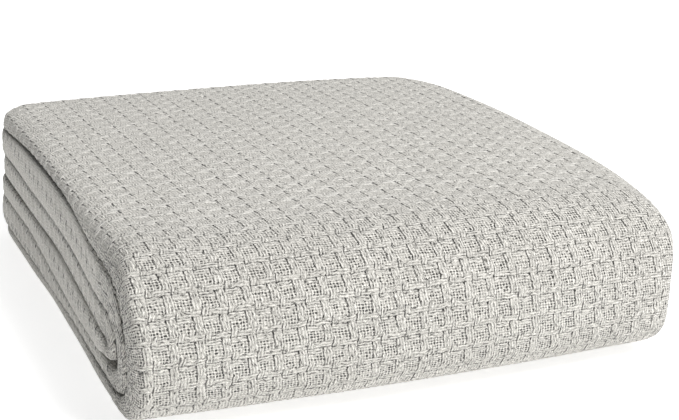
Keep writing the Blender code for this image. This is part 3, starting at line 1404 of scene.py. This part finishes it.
@dataclass(frozen=True)
class ThermalCotton:
    """Stone-grey combed cotton in the thermal weave, dry and matt."""

    weave: Weave
    yarn_colour: tuple[float, float, float, float] = (0.620, 0.598, 0.548, 1.0)
    # Lighter colour for wear at random and for painted highlight on the yarn tops and the weft floats
    wear_and_highlight_colour: tuple[float, float, float, float] = (0.900, 0.878, 0.822, 1.0)
    # Dark colour of the painted shade in gaps, holes, creases and where yarns dive
    painted_shade_colour: tuple[float, float, float, float] = (0.040, 0.038, 0.032, 1.0)
    roughness: float = 0.93
    specular: float = 0.25
    sheen: float = 0.25
    sheen_roughness: float = 0.6
    yarn_relief: float = 0.0008
    # What the relief is made of
    height_relief: float = 0.8
    strand_relief: float = 0.30
    fibre_relief: float = 0.30
    streak_relief: float = 0.5
    hole_relief: float = 0.6
    gap_relief: float = 0.8
    # What lightens the colour: wear at random, and painted highlight on the yarn tops and on the weft floats.
    # What darkens it: painted shade where yarns dive, at their sides, between strands and all over, and
    # flecks.
    height_highlight: float = 0.55
    fibre_wear: float = 0.9
    patch_wear: float = 0.30
    weft_highlight_share: float = 0.5
    end_shade: float = 0.10
    seam_shade: float = 0.13
    strand_shade: float = 0.24
    least_shade: float = 0.07
    fleck_streak: tuple[float, float] = (0.12, 0.50)
    # How unevenly the yarns run: slow drift, short wobble, and the lean of a cell with where it turns
    drift: Noise = Noise(1.3, 1.5, 0.6, 0.10)
    wobble: Noise = Noise(6.5, 1.0, 0.5, 0.075)
    lean: float = 0.30
    lean_turn: float = 0.65
    # Form of a yarn
    roundness: float = 0.97
    dive_loss: float = 0.55
    strands: float = 2.0
    twist: float = 0.22
    # Noise in cells, and the stretch of yarns that a streak follows
    fibre_scale: float = 23.0
    uneven_scale: float = 2.1
    patch_scale: float = 0.45
    broken_scale: float = 6.5
    slot_scale: float = 1.9
    streak_scale: tuple[float, float] = (1.9, 0.6)
    # Where painted shade begins and ends: by chance, by cells from the left edge, and by the place in a yarn
    tuck_slope: float = 4.0
    window_chance: tuple[float, float] = (0.12, 0.72)
    stray_chance: tuple[float, float] = (0.22, 0.60)
    flank: tuple[float, float] = (0.05, 0.35)
    slot_end: tuple[float, float] = (0.45, 0.70)
    hole_side: tuple[float, float] = (0.26, 0.62)
    yarn_end: tuple[float, float] = (0.55, 1.0)
    yarn_seam: tuple[float, float] = (0.62, 1.0)
    broken_cover: tuple[float, float] = (0.36, 0.62)
    # Where a gap's painted shade begins and ends, on its own crossing and on the one past it
    side_gap: tuple[tuple[float, float], ...] = ((0.20, 0.48), (0.38, 0.52))
    far_gap: tuple[tuple[float, float], ...] = ((0.16, 0.46), (0.36, 0.52))
    dash_gap: tuple[tuple[float, float], ...] = ((-0.05, 0.38), (0.28, 0.5))
    deep_gap: tuple[tuple[float, float], ...] = ((-0.05, 0.40), (0.25, 0.5))
    slot_gap: tuple[tuple[float, float], ...] = ((-0.20, 0.25), (0.15, 0.42))
    # Painted shade at the creases: the darkness of the thin line and of the soft shadow, and the shadow's
    # width in millimetres
    crease_line_shade: float = 0.75
    crease_shadow: float = 0.36
    shadow_width: float = 4.5

    def material(self) -> bpy.types.Material:
        """Build the material.

        Returns:
            The material, named for the record's slot.
        """
        material = bpy.data.materials.new(SLOT)
        material.use_nodes = True
        material.node_tree.nodes.clear()
        shader = Shader(material.node_tree)
        spot = self.spot(shader)
        warp, weft = self.yarns(spot)
        on_top, opened = spot.on_top, spot.opened
        height = shader.between(on_top, weft.height, warp.height)
        strand = shader.between(on_top, weft.strand, warp.strand)
        fibre = shader.cloud(spot.uv, self.fibre_scale, 2.0)
        patchy = shader.cloud(spot.uv, self.patch_scale, 1.0)
        streak = self.streak(shader, spot)
        hole = self.hole(shader, spot, warp.side, weft.side, patchy)
        gap = self.gap(shader, spot, warp.side)

        # Painted shade where a yarn dives under the next, at the yarns' sides, between their strands and all
        # over, with the gaps; the grain lightens and darkens it at random
        end_dark = shader.between(on_top, weft.dive.ramp(*self.yarn_end), warp.dive.ramp(*self.yarn_end))
        seam = shader.between(
            on_top, weft.side.ramp(*self.yarn_seam), warp.side.ramp(*self.yarn_seam) * opened
        )
        window = spot.window * opened
        fleck = (streak * -1.0).ramp(*self.fleck_streak) * (0.40 + 0.20 * opened - 0.50 * window)
        grain = (fibre - 0.5) * (0.7 - 0.3 * window) + streak * (0.50 - 0.35 * window) - fleck + 0.12 * window
        shade = end_dark * self.end_shade + seam * self.seam_shade
        shade = shade + (1.0 - strand) * self.strand_shade * (0.5 + fibre) + gap - grain + self.least_shade
        # Painted shade at the creases and in the hollow of the innermost fold
        shade = (shade.held() + self.crease(shader)).held()

        # Painted highlight on the weft floats where the weave lies closed, and on the yarn tops by their
        # height; the fibre and patch noise are wear at random
        weft_float_highlight = (1.0 - opened) * (1.0 - on_top) * (1.0 - spot.window) * weft.rounding
        wear_and_highlight = height.ramp(*self.yarn_end) * self.height_highlight + (fibre - 0.5) * self.fibre_wear
        wear_and_highlight = wear_and_highlight + (patchy - 0.5) * self.patch_wear + weft_float_highlight * self.weft_highlight_share
        colour = shader.tint(wear_and_highlight.held(), self.yarn_colour, self.wear_and_highlight_colour)
        # Mix in the painted shade, and then the painted shade in the holes
        colour = shader.tint(shade, colour, self.painted_shade_colour)
        colour = shader.tint(hole, colour, self.painted_shade_colour)

        relief = height * self.height_relief + strand * self.strand_relief + fibre * self.fibre_relief
        relief = relief + streak * self.streak_relief - hole * self.hole_relief - gap * self.gap_relief
        bump = shader.node(
            "ShaderNodeBump", {}, {"Strength": 1.0, "Distance": self.yarn_relief, "Height": relief}
        )
        surface = shader.node(
            "ShaderNodeBsdfPrincipled",
            {},
            {
                "Base Color": colour,
                "Roughness": self.roughness,
                "Specular IOR Level": self.specular,
                "Sheen Weight": self.sheen,
                "Sheen Roughness": self.sheen_roughness,
                "Normal": bump.outputs[0],
            },
        )
        shader.node("ShaderNodeOutputMaterial", {}, {"Surface": surface.outputs[0]})
        return material

    def spot(self, shader: Shader) -> Spot:
        """Find a place's crossing, its place in it, and how the weave lies there.

        Args:
            shader: The material's nodes.

        Returns:
            What is known of the place.
        """
        uv = moved = shader.node("ShaderNodeUVMap", {"uv_map": UV_NAME}, {}).outputs[0]
        for noise in (self.drift, self.wobble):
            centred = shader.vector("SUBTRACT", {0: shader.noise(uv, noise)["Color"], 1: (0.5, 0.5, 0.5)})
            scaled = shader.vector("SCALE", {0: centred, "Scale": noise.shift})
            moved = shader.vector("ADD", {0: moved, 1: scaled})
        split = shader.node("ShaderNodeSeparateXYZ", {}, {0: moved}).outputs
        count = self.weave.yarns
        edge = Value(shader, split[0])
        across, lengthwise = edge * count, Value(shader, split[1]) * count
        down = lengthwise % count
        turn = self.lean_turn * count
        lean = (down / turn).do("MINIMUM", (count - down) / (count - turn)) * 2.0 - 1.0
        across = across - lean * self.lean
        column, row = across.floor(), lengthwise.floor()
        chart = ChartReader(shader, self.weave, column, row)
        opened = shader.mark(OPEN_NAME)
        return Spot(
            chart=chart,
            uv=uv,
            edge=edge,
            across=across,
            lengthwise=lengthwise,
            x=across - column - 0.5,
            y=lengthwise - row - 0.5,
            opened=opened,
            tucked=(1.0 - opened * self.tuck_slope).held(),
            on_top=chart.find(self.weave.chart, "Ww"),
            window=chart.find(self.weave.chart, "wf"),
        )

    def yarns(self, spot: Spot) -> tuple[Yarn, Yarn]:
        """Form of the warp and the weft at a place, each as if it were on top.

        Args:
            spot: The place.

        Returns:
            The warp and the weft.
        """
        chart = self.weave.chart
        above, below = (1.0 - spot.chart.find(chart, "Ww", ahead=ahead) for ahead in (-1, 1))
        left, right = (spot.chart.find(chart, "Ww", aside=aside) for aside in (-1, 1))
        return (
            self.yarn(spot.x, spot.y, self.twist, above, below),
            self.yarn(spot.y, spot.x, -self.twist, left, right),
        )

    def yarn(self, aside: Value, ahead: Value, twist: float, before: Value, after: Value) -> Yarn:
        """Form of a yarn.

        Args:
            aside: Place across it, from -0.5 to 0.5.
            ahead: Place along it, from -0.5 to 0.5.
            twist: How far its strands slant.
            before: 1 where it dives under the yarn before this crossing.
            after: 1 where it dives under the one after it.

        Returns:
            Its form.
        """
        side = (aside * 2.0).size()
        rounding = (1.0 - self.roundness * side * side).root()
        dive = (ahead * -2.0).held() * before + (ahead * 2.0).held() * after
        strand = ((aside * self.strands + ahead * twist) * (2.0 * math.pi)).do("COSINE") * 0.5 + 0.5
        return Yarn(side, rounding, dive, rounding * (1.0 - self.dive_loss * dive * dive), strand)

    def streak(self, shader: Shader, spot: Spot) -> Value:
        """Light and dark streaks along the yarns, about 0.

        Args:
            shader: The material's nodes.
            spot: The place.

        Returns:
            The streak's strength.
        """
        fine, coarse = self.streak_scale
        warp = shader.cloud(shader.point(spot.across * fine, spot.lengthwise * coarse), 1.0, 2.0)
        weft = shader.cloud(shader.point(spot.across * coarse, spot.lengthwise * fine), 1.0, 2.0)
        return (shader.between(spot.on_top, weft, warp) - 0.5) * (2.0 - 1.3 * spot.tucked)

    def hole(self, shader: Shader, spot: Spot, side_x: Value, side_y: Value, patchy: Value) -> Value:
        """Holes at the corners of crossings, with painted shade in them, many in the windows and few
        elsewhere.

        Args:
            shader: The material's nodes.
            spot: The place.
            side_x: How far aside it lies in its crossing across the cloth.
            side_y: How far aside it lies along the cloth.
            patchy: Slow noise.

        Returns:
            How far a hole's painted shade shows, from 0 to 1.
        """
        corner_place = shader.point((spot.across + 0.5).floor(), (spot.lengthwise + 0.5).floor())
        chance = shader.node("ShaderNodeTexWhiteNoise", {"noise_dimensions": "2D"}, {"Vector": corner_place})
        chance = Value(shader, chance.outputs["Value"])
        uneven = shader.cloud(spot.uv, self.uneven_scale, 2.0)
        in_window = (uneven + patchy + 0.05).held() * (0.14 + 0.90 * chance.ramp(*self.window_chance))
        flank = 1.0 - spot.edge.ramp(*self.flank)
        elsewhere = 0.45 * chance * chance + flank * chance.ramp(*self.stray_chance) * 0.95
        corner = side_x.ramp(*self.hole_side) * side_y.ramp(*self.hole_side)
        shown = shader.between(spot.window, elsewhere, in_window)
        return ((corner * 1.7).held() * shown * spot.opened).held()

    def gap(self, shader: Shader, spot: Spot, side_x: Value) -> Value:
        """Painted shade in the gaps beside the floats, as the chart of gaps says.

        Args:
            shader: The material's nodes.
            spot: The place.
            side_x: How far aside it lies in its crossing across the cloth.

        Returns:
            How dark they are.
        """
        x, y, opened, tucked = spot.x, spot.y, spot.opened, spot.tucked
        left, above = x * -1.0, y * -1.0

        def find(letters: str, aside: int = 0, ahead: int = 0) -> Value:
            """Read the chart of gaps."""
            return spot.chart.find(self.weave.gaps, letters, aside, ahead)

        def at_left(letters: str, spans: Sequence[tuple[float, float]]) -> Value:
            """Draw the gap at the left side of the crossings with these letters."""
            return find(letters) * left.ramp(*spans[0]) + find(letters, 1) * x.ramp(*spans[1])

        broken = shader.cloud(spot.uv, self.broken_scale, 2.0).ramp(*self.broken_cover)
        side, dash = at_left("|oO!:", self.side_gap), at_left("O!", self.dash_gap)
        far = find("-oO") * above.ramp(*self.far_gap[0]) + find("-oO", 0, 1) * y.ramp(*self.far_gap[1])
        far = far * (0.30 + 0.70 * side_x.ramp(0.25, 0.8))
        # Painted shade in the gaps beside the floats, patchy where the cover is broken
        gap = (side * 0.95 * opened + far * (0.25 + 0.85 * opened)) * (0.10 + 0.90 * broken)

        deep = find("O") * left.ramp(*self.deep_gap[0]) * (1.0 - y.ramp(0.0, 0.5))
        deep = deep + find("O", 1) * x.ramp(*self.deep_gap[1]) * (1.0 - y.ramp(-0.1, 0.4))
        deep = deep + find("o") * 0.7 * left.ramp(0.0, 0.42) * above.ramp(0.0, 0.40)

        here, ahead = (find("O:", 0, row) + find("O:", 1, row) + find("O:", -1, row) for row in (0, 1))
        slot = here * above.ramp(*self.slot_gap[0]) + ahead * y.ramp(*self.slot_gap[1])
        slot = slot * tucked * shader.cloud(spot.uv, self.slot_scale, 1.0).ramp(*self.stray_chance)
        slot = slot * (1.0 - spot.edge.ramp(*self.slot_end))

        # Painted shade deep in the corners, in the slots of the folded edges, and in dashes where the weave
        # lies closed
        gap = gap + deep * (1.0 - tucked) * (0.70 + 0.35 * broken) + slot * (0.90 + 0.35 * broken)
        return gap + dash * ((1.0 - opened) - tucked).held() * (0.32 + 0.55 * broken)

    def crease(self, shader: Shader) -> Value:
        """Painted shade at a crease between panels: a thin dark line with a soft shadow beside it, full in the
        hollow of the innermost fold.

        Args:
            shader: The material's nodes.

        Returns:
            How dark it is.
        """
        distance, tuck = shader.mark(CREASE_NAME), shader.mark(CREASE_SHADE_NAME)
        line = 1.0 - (distance / (tuck * 1.1 + 0.5)).ramp(0.0, 1.0)
        shadow = 1.0 - distance.ramp(0.0, self.shadow_width)
        return (line * self.crease_line_shade + shadow * self.crease_shadow) * tuck


class Part(Enum):
    """The two lengths of the strip that are separate pieces."""

    WRAP = "outer_wrap"
    FOLDS = "inner_folds"


@dataclass
class Blanket:
    """The folded blanket as two pieces of cloth."""

    stack: Stack
    weave: Weave
    material: bpy.types.Material
    wrap_lay: Lay = Lay(steps=(8, 1, 1, 2), fine_run=True, shift=0, closed=0.25, slant=0.0)
    fold_lay: Lay = Lay(steps=(1, 3, 1, 2, 1, 1, 1), fine_run=False, shift=2, closed=0.0, slant=-0.5)

    def wrap_parts(self) -> list[Sections]:
        """The underside, the front wrap, the top and the upper back fold.

        Returns:
            The sections of each, in order along the strip.
        """
        stack = self.stack
        free_end = stack.back_centre + stack.free_end_reach
        return [
            stack.panel(1, free_end, stack.front_centre, first_is_lower=False),
            stack.front_turn(3, first_is_inner=True),
            stack.panel(6, stack.front_centre, stack.back_centre, first_is_lower=True),
            stack.back_turn(5, first_is_inner=True).turned(),
        ]

    def fold_parts(self) -> list[Sections]:
        """The inner panels and their folds, from panel 5 to the free end in panel 4.

        Returns:
            The sections of each, in order along the strip.
        """
        stack = self.stack
        front, back = stack.front_centre, stack.back_centre
        return [
            stack.panel(5, back, front, first_is_lower=False),
            stack.front_turn(2, first_is_inner=False).turned(),
            stack.panel(2, front, back, first_is_lower=True),
            stack.back_turn(2, first_is_inner=False),
            stack.panel(3, back, front, first_is_lower=False),
            stack.front_turn(1, first_is_inner=True),
            stack.panel(4, front, back + stack.free_end_reach, first_is_lower=True),
        ]

    def piece(self, part: Part, parts: list[Sections], lay: Lay) -> ClothPiece:
        """Lay out one piece.

        Args:
            part: Which piece it is.
            parts: Its lengths of strip, in order.
            lay: How it is followed, and how its weave lies.

        Returns:
            The piece, ready to build.
        """
        sections = joined(parts)
        outer = sections.last if lay.fine_run else sections.middle
        moves = np.linalg.norm(np.diff(outer, axis=0), axis=1)
        lengths = np.concatenate([[0.0], np.cumsum(moves)])
        yarn = self.weave.lengthwise / self.weave.yarns
        rows, start = set(), 0
        for run, yarns in zip(parts, lay.steps):
            start = min(start, len(lengths) - 1)
            end = min(start + len(run.inset) - (1 if start else 0), len(lengths) - 1)
            step = yarns * yarn
            whole = np.arange(math.ceil(lengths[start] / step), math.ceil(lengths[end] / step))
            rows.update(((whole + 0.5) * step).tolist())
            start = end
        inside = sorted(row for row in rows if lengths[0] < row < lengths[-1])
        places = np.array([lengths[0], *inside, lengths[-1]])
        return ClothPiece(part.value, lay, self.stack, self.weave, sections, lengths, places)

    def build(self) -> list[bpy.types.Object]:
        """Build and dress both pieces, and attach them to the body.

        Returns:
            The two pieces.
        """
        relief = ReliefTree(self.weave, self.material)
        made = []
        for cloth in (
            self.piece(Part.WRAP, self.wrap_parts(), self.wrap_lay),
            self.piece(Part.FOLDS, self.fold_parts(), self.fold_lay),
        ):
            piece, length = relief.press(cloth.build()), float(cloth.lengths[-1])
            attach(piece, BODY)
            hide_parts(CAD_NODE)
            LOG.info("%s: %d points, %.3f m of strip", piece.name, len(piece.data.vertices), length)
            made.append(piece)
        return made


@dataclass(frozen=True)
class Softbox:
    """A square studio light that looks at the blanket."""

    name: str
    place: tuple[float, float, float]
    size: float
    power: float
    aim: tuple[float, float, float] = (0.0, 0.0, 0.05)

    def hang(self) -> bpy.types.Object:
        """Add the light.

        Returns:
            The light's object.
        """
        data = bpy.data.lights.new(self.name, "AREA")
        data.shape = "SQUARE"
        data.size = self.size
        data.energy = self.power
        light = bpy.data.objects.new(self.name, data)
        light.location = self.place
        look = Vector(self.aim) - Vector(self.place)
        light.rotation_euler = look.to_track_quat("-Z", "Y").to_euler()
        bpy.context.scene.collection.objects.link(light)
        return light


@dataclass(frozen=True)
class Studio:
    """Pale floor, soft light and the camera at the photograph's angle."""

    azimuth: float = -23.2217
    elevation: float = 18.7364
    roll: float = 1.2635
    eye: tuple[float, float, float] = (-0.38956, -0.93470, 0.39864)
    lens: float = 80.966
    sensor: float = 36.0
    white: tuple[float, float, float, float] = (1.0, 1.0, 1.0, 1.0)
    floor_size: float = 14.0
    floor_colour: tuple[float, float, float, float] = (0.86, 0.86, 0.86, 1.0)
    floor_roughness: float = 0.9
    floor_glow: float = 0.62
    sky: float = 0.325
    lights: tuple[Softbox, ...] = (
        Softbox("key", (1.05, -1.35, 2.35), 1.1, 95.0),
        Softbox("back", (0.6, 1.9, 1.8), 1.6, 10.0),
    )

    def floor(self) -> None:
        """Lay the floor."""
        half = 0.5 * self.floor_size
        data = bpy.data.meshes.new("floor")
        corners = [(-half, -half, 0.0), (half, -half, 0.0), (half, half, 0.0), (-half, half, 0.0)]
        data.from_pydata(corners, [], [(0, 1, 2, 3)])
        material = bpy.data.materials.new("floor")
        material.use_nodes = True
        surface = material.node_tree.nodes["Principled BSDF"]
        surface.inputs["Base Color"].default_value = self.floor_colour
        surface.inputs["Roughness"].default_value = self.floor_roughness
        surface.inputs["Emission Color"].default_value = self.white
        surface.inputs["Emission Strength"].default_value = self.floor_glow
        data.materials.append(material)
        floor = bpy.data.objects.new("floor", data)
        bpy.context.scene.collection.objects.link(floor)

    def light(self) -> None:
        """Light the scene softly from all round, with one large light at the front right."""
        world = bpy.data.worlds.new("studio")
        world.use_nodes = True
        sky = world.node_tree.nodes["Background"]
        sky.inputs["Color"].default_value = self.white
        sky.inputs["Strength"].default_value = self.sky
        bpy.context.scene.world = world
        for light in self.lights:
            light.hang()

    def camera(self) -> None:
        """Set the camera."""
        turn, tilt, roll = (math.radians(v) for v in (self.azimuth, self.elevation, self.roll))
        back = Vector((math.sin(turn) * math.cos(tilt), -math.cos(turn) * math.cos(tilt), math.sin(tilt)))
        level = Vector((0.0, 0.0, 1.0)).cross(back).normalized()
        upright = back.cross(level)
        right = level * math.cos(roll) + upright * math.sin(roll)
        up = upright * math.cos(roll) - level * math.sin(roll)
        data = bpy.data.cameras.new("camera")
        data.sensor_width = self.sensor
        data.lens = self.lens
        camera = bpy.data.objects.new("camera", data)
        turned = Matrix((right, up, back)).transposed().to_4x4()
        camera.matrix_world = Matrix.Translation(Vector(self.eye)) @ turned
        bpy.context.scene.collection.objects.link(camera)
        bpy.context.scene.camera = camera

    def build(self) -> None:
        """Set up the floor, the light and the camera."""
        self.floor()
        self.light()
        self.camera()
        bpy.context.scene.view_settings.view_transform = "Standard"


def main() -> None:
    """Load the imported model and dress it."""
    logging.basicConfig(level=logging.INFO, format="%(name)s: %(message)s")
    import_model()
    Studio().build()
    weave = Weave()
    Blanket(Stack(), weave, ThermalCotton(weave).material()).build()


if __name__ == "__main__":
    main()
